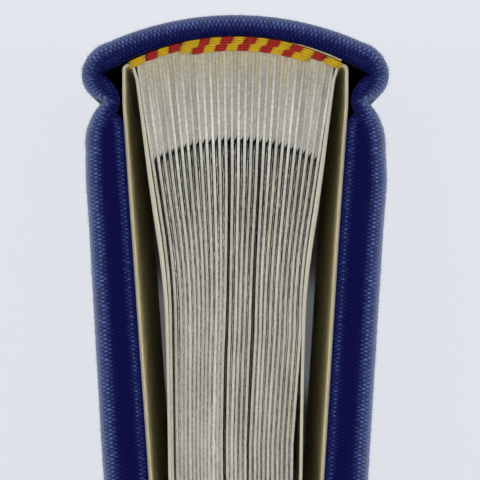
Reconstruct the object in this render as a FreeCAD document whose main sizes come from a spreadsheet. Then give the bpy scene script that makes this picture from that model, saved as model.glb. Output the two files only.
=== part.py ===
"""A small case-bound photo album, standing on its tail with both covers closed.

Millimetres, +Z towards the head. The album's mirror plane is X = 0: the front cover lies on -X
and the back cover on +X. The rounded spine faces +Y and the fore-edge -Y. The origin is the
middle of the footprint, on the surface that the album stands on.

Everything is one section in XY, carried along Z. A place across the album is its half-width from
the mirror plane; a place along the depth is measured from the crown of the spine to the fore-edge.
"""

import FreeCAD, Part

import math
import os

import Sketcher
from FreeCAD import Placement, Rotation, Vector

UP = Vector(0, 0, 1)

# name, value, what it is
SIZES = (
    ("cover_height", 195, "boards, head to tail"),
    ("cover_width", 130.5, "cover from its hinge line to its fore-edge"),
    ("board_thick", 4.3, "grey board of a cover"),
    ("cloth_thick", 0.5, "book cloth with its glue"),
    ("paper_thick", 0.35, "endpaper"),
    ("turn_in", 16, "cloth folded over on to the inside of a board"),
    ("paste_gap", 0.025, "room left for the paste between two glued pieces"),
    ("edge_round", 1.1, "round of the cloth over a board's fore-edge"),
    ("head_round", 0.7, "round of the cloth over a board's head and tail"),
    ("joint_width", 6.0, "cover cloth from the hinge line to its full thickness"),
    ("board_setback", 2.2, "board's joint edge from the hinge line"),
    ("hinge_depth", 11.3, "hinge line from the crown of the spine"),
    ("hinge_gap", 0.3, "slit in the case along the hinge line"),
    ("hinge_swell", 0.3, "pivot outside the spine's widest place"),
    ("strip_thick", 2.0, "case in the groove: cloth, lining and turn-in pressed together"),
    ("groove_sink", 2.8, "depth of the French groove under the spine's widest place"),
    ("groove_clear", 0.43, "groove strip clear of the folded endpaper"),
    ("bulge_depth", 7.7, "spine's widest place from its crown"),
    ("bulge_radius", 3.6, "round of the spine's side into the groove"),
    ("strip_round", 4.2, "round of the groove strip into the hollow"),
    ("shoulder_width", 3.4, "shoulder of the spine, from its crown's arc to its side"),
    ("shoulder_radius", 4.6, "round of that shoulder"),
    ("crown_radius", 40.5, "outside of the spine"),
    ("hollow_radius", 33, "inside of the spine"),
    ("spine_thick", 2.7, "spine at its middle, cloth to cloth"),
    ("spine_edge", 2.6, "spine at its widest place, outside to hollow"),
    ("spine_board_thick", 1.6, "bent stiffener of the spine"),
    ("spine_board_half", 16.9, "half the stiffener's width"),
    ("spine_turn_half", 14.5, "half the width that is bare of cloth inside the spine"),
    ("spine_hollow", 0.25, "hollow back between the spine and the lined block"),
    ("lining_thick", 0.25, "mull and paper glued to the back of the block"),
    ("lining_rise", 0.5, "lining above the head of the leaves"),
    ("leaf_count", 28, "album leaves"),
    ("leaf_thick", 0.35, "card of a leaf"),
    ("guard_thick", 0.36, "card strip bound between two leaves"),
    ("fore_gap", 0.02, "air between two leaves at the fore-edge"),
    ("page_height", 187, "leaf, head to tail"),
    ("page_depth", 133, "leaf, spine to fore-edge"),
    ("guard_depth", 13.2, "guard, spine to its free edge"),
    ("glue_depth", 0.9, "glued back of the leaves"),
    ("back_radius", 31, "rounded back of the leaves"),
    ("backing_flare", 2.35, "spread of the outer leaves at the back"),
    ("waist_depth", 36, "where the bent leaves turn straight, from the spine's crown"),
    ("waist_half", 8.5, "outer leaf's half-width there"),
    ("leaf_clear", 0.08, "flyleaf clear of the outer leaf at the back"),
    ("flyleaf_bow", 0.6, "flyleaf standing off the outer leaf at the guards' ends"),
    ("flyleaf_clear", 0.3, "pastedown clear of the flyleaf at the fore-edge"),
    ("fold_radius", 0.95, "outside of the endpaper's fold"),
    ("fold_sink", 1.3, "middle of that fold below the outer leaf's back edge"),
    ("bead_radius", 0.43, "one row of the sewn headband"),
    ("bead_length", 1.5, "one colour of thread along the headband"),
    ("back_row_count", 19, "stitches of the row at the spine"),
    ("front_row_count", 12, "stitches of the row on the leaves"),
)

# name, formula: sizes that follow from those above
FOLLOWING = (
    ("leaf_gaps", "dims.leaf_count - 1"),
    ("stub_half", "leaf_gaps / 2 * (dims.leaf_thick + dims.guard_thick + 2 * dims.paste_gap)"),
    ("fan_half", "stub_half + dims.backing_flare"),
    ("fore_half", "leaf_gaps / 2 * (dims.leaf_thick + dims.fore_gap)"),
    ("back_depth", "dims.spine_thick + dims.spine_hollow + dims.lining_thick"),
    (
        "fan_drop",
        "dims.back_radius - sqrt(dims.back_radius ^ 2 - fan_half ^ 2)",
    ),
    ("flyleaf_face", "fan_half + dims.leaf_thick / 2 + dims.leaf_clear"),
    ("joint_half", "flyleaf_face + 2 * dims.fold_radius"),
    ("strip_inner", "joint_half + dims.groove_clear"),
    ("strip_outer", "strip_inner + dims.strip_thick"),
    ("bulge_half", "strip_outer + dims.groove_sink"),
    ("shoulder_half", "bulge_half - dims.shoulder_width"),
    (
        "shoulder_drop",
        "dims.crown_radius - sqrt(dims.crown_radius ^ 2 - shoulder_half ^ 2)",
    ),
    ("pivot_half", "bulge_half + dims.hinge_swell"),
    ("hollow_half", "bulge_half - dims.spine_edge"),
    (
        "hollow_drop",
        "dims.hollow_radius - sqrt(dims.hollow_radius ^ 2 - hollow_half ^ 2)",
    ),
    ("cover_thick", "dims.board_thick + 2 * (dims.cloth_thick + dims.paste_gap)"),
    ("strip_rise", "cover_thick - dims.groove_clear - dims.strip_thick"),
    ("strip_run", "dims.joint_width - dims.hinge_gap / 2"),
    ("joint_round", "(strip_rise ^ 2 + strip_run ^ 2) / (2 * strip_rise)"),
    ("board_round", "joint_round - dims.cloth_thick - dims.paste_gap"),
    ("stub_depth", "back_depth + fan_drop + dims.guard_depth"),
    ("fore_depth", "back_depth + fan_drop + dims.page_depth"),
    (
        "fore_stack",
        "fore_half + dims.leaf_thick / 2 + dims.paste_gap + 2 * dims.paper_thick + dims.flyleaf_clear",
    ),
    ("cover_lean", "atan((joint_half - fore_stack) / (fore_depth - dims.hinge_depth))"),
    (
        "album_depth",
        "dims.hinge_depth + (dims.cover_width - dims.edge_round) * cos(cover_lean)"
        " + (cover_thick - dims.edge_round) * sin(cover_lean) + dims.edge_round",
    ),
    ("crown_y", "album_depth / 2"),
    ("tail_square", "(dims.cover_height - dims.page_height) / 2"),
)


def fill_sheets(album):
    """The driving sizes in one sheet and the sizes that follow from them in another."""
    dims = album.addObject("Spreadsheet::Sheet", "dims")
    for row, (name, size, note) in enumerate(SIZES, 1):
        dims.set(f"A{row}", note)
        dims.set(f"B{row}", str(size))
        dims.setAlias(f"B{row}", name)
    album.recompute()
    follow = album.addObject("Spreadsheet::Sheet", "follow")
    for row, (name, formula) in enumerate(FOLLOWING, 1):
        follow.set(f"B{row}", "=" + formula)
        follow.setAlias(f"B{row}", name)
        album.recompute()


def value(sheet, text):
    """The number that a formula has at the sheets' present sizes."""
    number = sheet.evalExpression(text)
    return number.Value if hasattr(number, "Value") else float(number)


def across(side, half):
    """A formula for X: a half-width on one side of the mirror plane."""
    return half if side > 0 else f"-({half})"


def down(depth):
    """A formula for Y: a depth below the crown of the spine."""
    return f"follow.crown_y - ({depth})"


def new_body(album, name):
    body = album.addObject("PartDesign::Body", name)
    body.Label = name
    return body


def draw(body, name, corners, base="0"):
    """A closed sketch on the body's XY plane, lifted to the height that base gives.

    Each corner is (x, y) or (x, y, radius), all formulas. A radius rounds the side that ends at
    that corner; a minus before it makes that side turn to the right instead of to the left.
    """
    plane = next(f for f in body.Origin.OriginFeatures if f.Role == "XY_Plane")
    sketch = body.newObject("Sketcher::SketchObject", name)
    sketch.AttachmentSupport = [(plane, "")]
    sketch.MapMode = "FlatFace"
    sketch.setExpression("AttachmentOffset.Base.z", base)
    spots = [Vector(value(sketch, c[0]), value(sketch, c[1]), 0) for c in corners]
    ends = []
    for index, corner in enumerate(corners):
        start, stop = spots[index - 1], spots[index]
        if len(corner) == 2:
            side = sketch.addGeometry(Part.LineSegment(start, stop))
            ends.append((side, 1, 2))
            continue
        right = corner[2].startswith("-")
        radius = value(sketch, corner[2].lstrip("-"))
        if right:
            start, stop = stop, start
        chord = stop - start
        reach = math.sqrt(radius**2 - (chord.Length / 2) ** 2)
        middle = (start + stop) / 2 + UP.cross(chord).normalize() * reach
        first = math.atan2(start.y - middle.y, start.x - middle.x)
        last = math.atan2(stop.y - middle.y, stop.x - middle.x)
        circle = Part.Circle(middle, UP, radius)
        side = sketch.addGeometry(Part.ArcOfCircle(circle, first, last))
        ends.append((side, 2, 1) if right else (side, 1, 2))
    for index, (side, _, stop) in enumerate(ends):
        following, start, _ = ends[(index + 1) % len(ends)]
        sketch.addConstraint(Sketcher.Constraint("Coincident", side, stop, following, start))
        for kind, formula in zip(("DistanceX", "DistanceY"), corners[index][:2]):
            made = Sketcher.Constraint(kind, side, stop, value(sketch, formula))
            at = sketch.addConstraint(made)
            sketch.setExpression(f"Constraints[{at}]", formula)
        if len(corners[index]) == 3:
            radius = corners[index][2].lstrip("-")
            made = Sketcher.Constraint("Radius", side, value(sketch, radius))
            at = sketch.addConstraint(made)
            sketch.setExpression(f"Constraints[{at}]", radius)
    return sketch


def pad(body, name, corners, length, base="0"):
    sketch = draw(body, name + "_outline", corners, base)
    feature = body.newObject("PartDesign::Pad", name)
    feature.Profile = sketch
    feature.setExpression("Length", length)
    body.Document.recompute()
    return feature


def pocket(body, name, corners, length, base):
    """Cut upwards from base; the volume shows that it met the solid."""
    before = body.Shape.Volume
    sketch = draw(body, name + "_outline", corners, base)
    feature = body.newObject("PartDesign::Pocket", name)
    feature.Profile = sketch
    feature.Reversed = True
    feature.setExpression("Length", length)
    body.Document.recompute()
    if not feature.Shape.Volume < before - 1:
        raise RuntimeError(f"{name} cuts nothing from {body.Label}")
    return feature


def round_ends(body, name, wanted, radius):
    """Fillet the edges at head and tail that wanted picks by a point halfway along them."""
    feature = body.Tip
    height = value(body, "dims.cover_height")
    edges = []
    for number, edge in enumerate(feature.Shape.Edges, 1):
        middle = edge.valueAt((edge.FirstParameter + edge.LastParameter) / 2)
        level = abs(edge.BoundBox.ZLength) < 1e-6
        at_end = min(abs(middle.z), abs(middle.z - height)) < 1e-6
        if level and at_end and wanted(middle):
            edges.append(f"Edge{number}")
    fillet = body.newObject("PartDesign::Fillet", name)
    fillet.Base = (feature, edges)
    fillet.setExpression("Radius", radius)
    body.Document.recompute()
    return fillet


def crown_corner(half, radius, side):
    """A corner on an arc about the middle of the crown's circle."""
    return across(side, half), f"{down('dims.crown_radius')} + sqrt(({radius}) ^ 2 - ({half}) ^ 2)"


def spine_board_outline(clear):
    """The bent stiffener: two arcs about the crown's own middle, cut off square at the ends."""
    outer = f"(dims.crown_radius - dims.cloth_thick - dims.paste_gap + {clear})"
    inner = f"({outer} - dims.spine_board_thick - 2 * ({clear}))"
    half = f"(dims.spine_board_half + {clear})"
    inner_half = f"({half} * {inner} / {outer})"
    return [
        (*crown_corner(inner_half, inner, 1), "-" + inner),
        crown_corner(half, outer, 1),
        (*crown_corner(half, outer, -1), outer),
        crown_corner(inner_half, inner, -1),
    ]


def spine_board(album):
    body = new_body(album, "spine_board")
    length = "dims.cover_height - 2 * (dims.cloth_thick + dims.paste_gap)"
    pad(body, "stiffener", spine_board_outline("0"), length, "dims.cloth_thick + dims.paste_gap")
    return body


def spine_cloth(album):
    """The spine's cloth: crown, rounded sides, and a strip down into each groove."""
    body = new_body(album, "spine_cloth")
    slit = down("dims.hinge_depth - dims.hinge_gap / 2")
    shoulder = down("follow.shoulder_drop")
    bulge = down("dims.bulge_depth")
    tip = down("dims.spine_thick + follow.hollow_drop")
    outline = [
        (across(1, "follow.shoulder_half"), shoulder, "-dims.crown_radius"),
        (across(1, "follow.bulge_half"), bulge, "-dims.shoulder_radius"),
        (across(1, "follow.strip_outer"), slit, "-dims.bulge_radius"),
        (across(1, "follow.strip_inner"), slit),
        (across(1, "follow.hollow_half"), tip, "-dims.strip_round"),
        (across(-1, "follow.hollow_half"), tip, "dims.hollow_radius"),
        (across(-1, "follow.strip_inner"), slit, "-dims.strip_round"),
        (across(-1, "follow.strip_outer"), slit),
        (across(-1, "follow.bulge_half"), bulge, "-dims.bulge_radius"),
        (across(-1, "follow.shoulder_half"), shoulder, "-dims.shoulder_radius"),
    ]
    pad(body, "spine", outline, "dims.cover_height")
    pocket(
        body,
        "board_room",
        spine_board_outline("dims.paste_gap"),
        "dims.cover_height - 2 * dims.cloth_thick",
        "dims.cloth_thick",
    )
    inner = "(dims.crown_radius - dims.cloth_thick - 1.5 * dims.paste_gap - dims.spine_board_thick)"
    clear_depth = down("dims.spine_thick + follow.hollow_drop")
    bare = [
        (*crown_corner("dims.spine_turn_half", inner, 1), "-" + inner),
        (across(1, "dims.spine_turn_half"), clear_depth),
        (across(-1, "dims.spine_turn_half"), clear_depth),
        crown_corner("dims.spine_turn_half", inner, -1),
    ]
    pocket(body, "between_turn_ins", bare, "dims.cover_height - 2 * dims.turn_in", "dims.turn_in")
    return body


def spine_lining(album):
    """Mull and paper round the back of the block; it stands a little above the leaves."""
    body = new_body(album, "spine_lining")
    middle = f"({down('follow.back_depth + dims.back_radius')})"
    inner = "(dims.back_radius + dims.paste_gap)"
    outer = "(dims.back_radius + dims.lining_thick)"
    half = "follow.fan_half"
    outer_half = f"({half} * {outer} / {inner})"
    outline = [
        (across(1, half), f"{middle} + sqrt({inner} ^ 2 - {half} ^ 2)", "-" + inner),
        (across(1, outer_half), f"{middle} + sqrt({outer} ^ 2 - {outer_half} ^ 2)"),
        (across(-1, outer_half), f"{middle} + sqrt({outer} ^ 2 - {outer_half} ^ 2)", outer),
        (across(-1, half), f"{middle} + sqrt({inner} ^ 2 - {half} ^ 2)"),
    ]
    length = "dims.page_height + 2 * dims.lining_rise"
    pad(body, "lining", outline, length, "follow.tail_square - dims.lining_rise")
    return body


def place_cover(body, side):
    """Cover pieces are drawn with X out of the cover and -Y along it, then leant and moved."""
    body.Placement = Placement(Vector(), Rotation(UP, 1))
    body.setExpression("Placement.Rotation.Angle", f"{-side} * follow.cover_lean")
    body.setExpression("Placement.Base.x", across(side, "follow.joint_half"))
    body.setExpression("Placement.Base.y", down("dims.hinge_depth"))
    body.Document.recompute()
    return body


def mirrored(side, corners):
    """An outline that turns to the left on +X, or its mirror image on -X."""
    if side > 0:
        return corners
    flipped = []
    for index, corner in enumerate(corners):
        turn = corners[(index + 1) % len(corners)][2:]
        flipped.append((f"-({corner[0]})", corner[1], *turn))
    return flipped[::-1]


def board_outline(side, clear):
    """A board's section: square at the fore-edge, well rounded outside its joint edge."""
    inner = f"dims.cloth_thick + dims.paste_gap - {clear}"
    outer = f"follow.cover_thick - dims.cloth_thick - dims.paste_gap + {clear}"
    joint = f"-(dims.board_setback - {clear})"
    fore = f"-(dims.cover_width - dims.cloth_thick - dims.paste_gap + {clear})"
    round_off = f"(follow.board_round + {clear})"
    run = f"(dims.joint_width - dims.board_setback + {clear})"
    corner = f"follow.cover_thick - follow.joint_round + sqrt({round_off} ^ 2 - {run} ^ 2)"
    return mirrored(
        side,
        [
            (inner, joint),
            (inner, fore),
            (outer, fore),
            (outer, "-dims.joint_width"),
            (corner, joint, round_off),
        ],
    )


def board(album, name, side):
    body = new_body(album, name)
    length = "dims.cover_height - 2 * (dims.cloth_thick + dims.paste_gap)"
    base = "dims.cloth_thick + dims.paste_gap"
    pad(body, "board", board_outline(side, "0"), length, base)
    return place_cover(body, side)


def cover_cloth(album, name, side):
    """Cloth round a board, with turn-ins inside, and its share of the groove strip."""
    body = new_body(album, name)
    slit = "-dims.hinge_gap / 2"
    fore = "-dims.cover_width"
    fore_round = "-(dims.cover_width - dims.edge_round)"
    outline = [
        ("dims.groove_clear", slit),
        ("0", "-dims.board_setback"),
        ("0", fore_round),
        ("dims.edge_round", fore, "dims.edge_round"),
        ("follow.cover_thick - dims.edge_round", fore),
        ("follow.cover_thick", fore_round, "dims.edge_round"),
        ("follow.cover_thick", "-dims.joint_width"),
        ("dims.groove_clear + dims.strip_thick", slit, "follow.joint_round"),
    ]
    pad(body, "cover", mirrored(side, outline), "dims.cover_height")
    pocket(
        body,
        "board_room",
        board_outline(side, "dims.paste_gap"),
        "dims.cover_height - 2 * dims.cloth_thick",
        "dims.cloth_thick",
    )
    joint_end = "-(dims.board_setback + dims.cloth_thick)"
    fore_end = "-(dims.cover_width - dims.turn_in)"
    bare = [
        ("-dims.cloth_thick", joint_end),
        ("-dims.cloth_thick", fore_end),
        ("1.5 * dims.cloth_thick", fore_end),
        ("1.5 * dims.cloth_thick", joint_end),
    ]
    length = "dims.cover_height - 2 * dims.turn_in"
    pocket(body, "between_turn_ins", mirrored(side, bare), length, "dims.turn_in")
    joint_y = -value(body, "dims.board_setback")
    round_ends(body, "ends", lambda point: point.y < joint_y, "dims.head_round")
    return place_cover(body, side)


def pastedown(album, name, side):
    """The endpaper half that is glued to the cover, as high as the leaves."""
    body = new_body(album, name)
    near = "-dims.paste_gap"
    far = "-(dims.paper_thick)"
    joint = "-dims.hinge_gap / 2"
    fore = "-(dims.cover_width - follow.tail_square)"
    outline = [(far, joint), (far, fore), (near, fore), (near, joint)]
    pad(body, "sheet", mirrored(side, outline), "dims.page_height", "follow.tail_square")
    return place_cover(body, side)


class Bend:
    """How the block narrows, as the half-width of an outer leaf at each depth below the crown.

    A leaf runs straight from the back to the guards' ends, bends round to the waist and is
    straight again from there to the fore-edge. Its faces lie at a share of the half-width.
    """

    def __init__(self, sheet, back, stub, waist, fore):
        """Each place is (half-width, depth)."""
        self.crown = value(sheet, "follow.crown_y")
        self.back, self.stub, self.waist, self.fore = back, stub, waist, fore

    def half(self, depth):
        near, far = (self.back, self.stub) if depth <= self.stub[1] else (self.waist, self.fore)
        return near[0] + (far[0] - near[0]) * (depth - near[1]) / (far[1] - near[1])

    def middle(self):
        """The middle of the bend: halfway between its chord and the corner that it rounds."""
        depth = (self.stub[1] + self.waist[1]) / 2
        chord = (self.stub[0] + self.waist[0]) / 2
        fan_slope = (self.stub[0] - self.back[0]) / (self.stub[1] - self.back[1])
        corner = self.stub[0] + fan_slope * (depth - self.stub[1])
        return (chord + corner) / 2, depth

    def spot(self, share, shift, depth):
        return Vector(share * self.half(depth) + shift, self.crown - depth, 0)

    def face(self, share, shift, start, stop):
        """The edges of one face, between two depths that don't lie in the bend."""
        if stop <= self.stub[1]:
            return [join(self.spot(share, shift, start), self.spot(share, shift, stop))]
        half, depth = self.middle()
        stub = self.spot(share, shift, self.stub[1])
        waist = Vector(share * self.waist[0] + shift, self.crown - self.waist[1], 0)
        middle = Vector(share * half + shift, self.crown - depth, 0)
        return [
            join(self.spot(share, shift, start), stub),
            Part.Arc(stub, middle, waist).toShape(),
            join(waist, self.spot(share, shift, stop)),
        ]

    def meet(self, share, shift, arc_depth):
        """The depth at which a face meets an arc, whose depth follows from the half-width."""
        depth = arc_depth(0)
        for _ in range(12):
            depth = arc_depth(self.spot(share, shift, depth).x)
        return depth


def back_arc(sheet, extra):
    """The depth of the rounded back, or of an arc that lies extra below it, at any X."""
    radius = value(sheet, "dims.back_radius")
    top = value(sheet, "follow.back_depth") + extra
    return lambda x: top + radius - math.sqrt(radius**2 - x**2)


def leaf_bend(sheet):
    """The bend that all leaves and guards share, each at its own share of the half-width."""
    return Bend(
        sheet,
        (value(sheet, "follow.fan_half"), value(sheet, "follow.back_depth + follow.fan_drop")),
        (value(sheet, "follow.stub_half"), value(sheet, "follow.stub_depth")),
        (value(sheet, "dims.waist_half"), value(sheet, "dims.waist_depth")),
        (value(sheet, "follow.fore_half"), value(sheet, "follow.fore_depth")),
    )


def join(start, stop):
    return Part.LineSegment(start, stop).toShape()


def raise_section(edges, height):
    face = Part.Face(Part.Wire(Part.__sortEdges__(edges)))
    return face.extrude(Vector(0, 0, height))


def feature(album, name, shape, sheet):
    """A shape drawn at Z = 0, lifted to the tail of the leaves."""
    made = album.addObject("Part::Feature", name)
    made.Label = name
    made.Shape = shape
    made.Placement = Placement(Vector(0, 0, value(sheet, "follow.tail_square")), Rotation())
    return made


def page_block(album, sheet):
    """The leaves, open from the fore-edge to the glued back: one outline, like a comb."""
    bend = leaf_bend(sheet)
    half_leaf = value(sheet, "dims.leaf_thick") / 2
    fore = value(sheet, "follow.fore_depth")
    gaps = round(value(sheet, "follow.leaf_gaps"))
    glued = back_arc(sheet, value(sheet, "dims.glue_depth"))
    back = back_arc(sheet, 0)
    shares = [2 * leaf / gaps - 1 for leaf in range(gaps + 1)]
    edges = []
    for leaf, share in enumerate(shares):
        left_root = back if leaf == 0 else glued
        right_root = back if leaf == gaps else glued
        left = bend.meet(share, -half_leaf, left_root)
        right = bend.meet(share, half_leaf, right_root)
        edges += bend.face(share, -half_leaf, left, fore)
        edges += bend.face(share, half_leaf, right, fore)
        edges.append(join(bend.spot(share, -half_leaf, fore), bend.spot(share, half_leaf, fore)))
        if leaf < gaps:
            root = bend.meet(shares[leaf + 1], -half_leaf, glued)
            across_gap = bend.spot(shares[leaf + 1], -half_leaf, root)
            edges.append(join(bend.spot(share, half_leaf, right), across_gap))
    first = bend.spot(-1, -half_leaf, bend.meet(-1, -half_leaf, back))
    last = bend.spot(1, half_leaf, bend.meet(1, half_leaf, back))
    crown = Vector(0, bend.crown - back(0), 0)
    edges.append(Part.Arc(first, crown, last).toShape())
    shape = raise_section(edges, value(sheet, "dims.page_height"))
    return feature(album, "page_block", shape, sheet)


def guard_strips(album, sheet):
    """One strip of card between each two leaves, from the glue to the guards' free edges."""
    bend = leaf_bend(sheet)
    half_guard = value(sheet, "dims.guard_thick") / 2
    gaps = round(value(sheet, "follow.leaf_gaps"))
    paste = value(sheet, "dims.paste_gap")
    root = back_arc(sheet, value(sheet, "dims.glue_depth") + paste)
    free = back_arc(sheet, value(sheet, "dims.guard_depth"))
    strips = []
    for gap in range(gaps):
        share = (2 * gap + 1) / gaps - 1
        sides = (-half_guard, half_guard)
        near = [bend.meet(share, shift, root) for shift in sides]
        far = [bend.meet(share, shift, free) for shift in sides]
        edges = []
        for shift, start, stop in zip(sides, near, far):
            edges += bend.face(share, shift, start, stop)
        for depths in (near, far):
            left, right = (bend.spot(share, *at) for at in zip(sides, depths))
            edges.append(join(left, right))
        strips.append(raise_section(edges, value(sheet, "dims.page_height")))
    return feature(album, "guard_strips", Part.makeCompound(strips), sheet)


def flyleaf(album, sheet, name, side):
    """The endpaper's free half, its fold at the joint, and its share of the pasted half."""
    thick = value(sheet, "dims.paper_thick")
    half_leaf = value(sheet, "dims.leaf_thick") / 2
    face = value(sheet, "follow.flyleaf_face")
    fold = value(sheet, "follow.back_depth + follow.fan_drop + dims.fold_sink")
    fore = value(sheet, "follow.fore_depth")
    stub = value(sheet, "follow.stub_half + dims.flyleaf_bow") + half_leaf
    waist = value(sheet, "dims.waist_half + dims.flyleaf_bow / 2") + half_leaf
    outer = value(sheet, "follow.fore_half + dims.paste_gap") + half_leaf
    bend = Bend(
        sheet,
        (face, fold),
        (stub, value(sheet, "follow.stub_depth")),
        (waist, value(sheet, "dims.waist_depth")),
        (outer, fore),
    )
    edges = bend.face(side, 0, fold, fore) + bend.face(side, side * thick, fold, fore)
    edges.append(join(bend.spot(side, 0, fore), bend.spot(side, side * thick, fore)))
    radius = value(sheet, "dims.fold_radius")
    middle = Vector(side * (face + radius), bend.crown - fold, 0)
    slit = bend.crown - value(sheet, "dims.hinge_depth - dims.hinge_gap / 2")
    foot = []
    for reach in (radius, radius - thick):
        inside = middle - Vector(side * reach, 0, 0)
        outside = middle + Vector(side * reach, 0, 0)
        edges.append(Part.Arc(inside, middle + Vector(0, reach, 0), outside).toShape())
        foot.append(Vector(outside.x, slit, 0))
        edges.append(join(outside, foot[-1]))
    edges.append(join(*foot))
    shape = raise_section(edges, value(sheet, "dims.page_height"))
    return feature(album, name, shape, sheet)


def stitches(album, name, height, first_colour):
    """Every second stitch of a headband: short lengths of cord laid round the block's back.

    There are two rows, and they are a half stitch out of step. height is the formula of the
    rows' middle; first_colour is 0 for the colour that begins the back row, and 1 for the other.
    """
    beads = []
    sizes = album.getObject("dims")
    middle = down("follow.back_depth + dims.back_radius")
    turn = "dims.bead_length / dims.back_radius * 180 / pi"
    length = "dims.bead_length - 2 * dims.paste_gap"
    for row, count in ((0, "dims.back_row_count"), (1, "dims.front_row_count")):
        radius = f"dims.back_radius - {2 * row + 1} * dims.bead_radius"
        chord = f"({length}) * ({radius}) / dims.back_radius"
        for bead in range(first_colour, round(value(sizes, count)), 2):
            angle = f"90 + ({count} / 2 - {bead} - 0.5) * {turn}"
            about = f"placement(vector(0; {middle}; {height}); rotation(vector(0; 0; 1); {angle}))"
            lie = f"vector({radius}; -({chord}) / 2; 0); rotation(vector(1; 0; 0); -90)"
            cord = album.addObject("Part::Cylinder", f"{name}_stitch")
            cord.setExpression("Radius", "dims.bead_radius")
            cord.setExpression("Height", chord)
            cord.setExpression("Placement", f"{about} * placement({lie})")
            beads.append(cord)
    group = album.addObject("Part::Compound", name)
    group.Label = name
    group.Links = beads
    album.recompute()
    return group


def build():
    album = FreeCAD.newDocument("photo_album")
    fill_sheets(album)
    sheet = album.getObject("follow")
    head = "dims.cover_height - follow.tail_square + dims.bead_radius"
    tail = "follow.tail_square - dims.bead_radius"
    pieces = [
        page_block(album, sheet),
        guard_strips(album, sheet),
        flyleaf(album, sheet, "front_flyleaf", -1),
        flyleaf(album, sheet, "back_flyleaf", 1),
        spine_lining(album),
        spine_board(album),
        spine_cloth(album),
        stitches(album, "headband_yellow", head, 0),
        stitches(album, "headband_red", head, 1),
        stitches(album, "tailband_yellow", tail, 0),
        stitches(album, "tailband_red", tail, 1),
    ]
    for name, side in (("front", -1), ("back", 1)):
        pieces.append(board(album, f"{name}_board", side))
        pieces.append(cover_cloth(album, f"{name}_cover_cloth", side))
        pieces.append(pastedown(album, f"{name}_pastedown", side))
    album.recompute()
    return album, pieces


def write(album, pieces):
    """Write each piece's STEP file, after every object and every shape has been looked at."""
    for thing in album.Objects:
        if {"Invalid", "Error"} & set(thing.State):
            raise RuntimeError(f"{thing.Name} is {thing.State}")
    for piece in pieces:
        if piece.Shape.isNull() or not piece.Shape.isValid():
            raise RuntimeError(f"{piece.Label} has no valid shape")
    os.makedirs("parts", exist_ok=True)
    for piece in pieces:
        piece.Shape.exportStep(f"parts/{piece.Label}.step")


write(*build())
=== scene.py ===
"""A small case-bound photo album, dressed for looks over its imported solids.

Everything is one section, carried up from the album's tail to its head. A place in the section is
a complex number of metres: the half-width from the album's mirror plane, and the depth below the
crown of the spine times j. Each piece is a strip that stands on a pair of such outlines.
"""

import math

import bpy
import numpy as np
from bpy.props import FloatProperty, FloatVectorProperty, IntProperty, PointerProperty
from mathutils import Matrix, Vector


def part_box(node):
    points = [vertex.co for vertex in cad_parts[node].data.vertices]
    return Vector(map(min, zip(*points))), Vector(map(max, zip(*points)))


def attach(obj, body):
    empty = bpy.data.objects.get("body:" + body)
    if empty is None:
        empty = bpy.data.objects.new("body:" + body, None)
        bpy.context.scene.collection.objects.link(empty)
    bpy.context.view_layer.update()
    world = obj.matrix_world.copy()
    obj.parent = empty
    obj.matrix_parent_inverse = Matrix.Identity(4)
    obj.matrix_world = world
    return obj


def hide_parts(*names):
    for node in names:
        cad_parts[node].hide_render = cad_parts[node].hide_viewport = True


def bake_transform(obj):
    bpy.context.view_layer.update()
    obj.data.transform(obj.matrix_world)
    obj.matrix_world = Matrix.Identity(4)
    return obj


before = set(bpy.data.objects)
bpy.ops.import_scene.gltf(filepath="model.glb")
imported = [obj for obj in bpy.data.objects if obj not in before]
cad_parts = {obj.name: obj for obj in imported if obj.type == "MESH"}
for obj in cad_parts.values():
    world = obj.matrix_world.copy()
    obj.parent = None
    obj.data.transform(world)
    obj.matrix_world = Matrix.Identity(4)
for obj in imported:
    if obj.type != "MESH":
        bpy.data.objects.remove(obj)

bl_info = {
    "name": "Case-bound photo album",
    "version": (1, 0, 0),
    "blender": (4, 5, 0),
    "location": "3D View > Sidebar > Album",
    "description": "Dresses the album in book cloth, card leaves, endpapers and headbands",
    "category": "Add Mesh",
}

SIDES = (("front", -1), ("back", 1))

# gaps between leaves, counted from the front, where the album has been held open
OPENINGS = (0, 12, 17)

# depths between which the front cover comes to swell, the back one to swell and to stand off, and
# both stop swelling again
FRONT_SWELLS, BACK_SWELLS = (0.024, 0.056), (0.0158, 0.0215)
BACK_STANDS_OFF, SWELLS_END = (0.028, 0.062), (0.0905, 0.1205)

# the two rows of a headband: the side of its middle line, the end where the row begins, its
# stitches, and how many of them have the band's width to themselves
HEADBAND_ROWS = ((-1, -1, 15, 4.8), (1, 1, 13, 3.2))


def linear(tone):
    """An sRGB hex colour as linear red, green, blue and alpha."""
    parts = [int(tone[i : i + 2], 16) / 255 for i in (1, 3, 5)]
    return [c / 12.92 if c <= 0.04045 else ((c + 0.055) / 1.055) ** 2.4 for c in parts] + [1]


def size(name, description, millimetres):
    """A property for a length."""
    return FloatProperty(
        name=name, description=description, default=millimetres / 1000, unit="LENGTH", precision=5
    )


def colour(name, description, tone):
    """A property for a colour."""
    return FloatVectorProperty(
        name=name, description=description, default=linear(tone), size=4, subtype="COLOR"
    )


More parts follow.
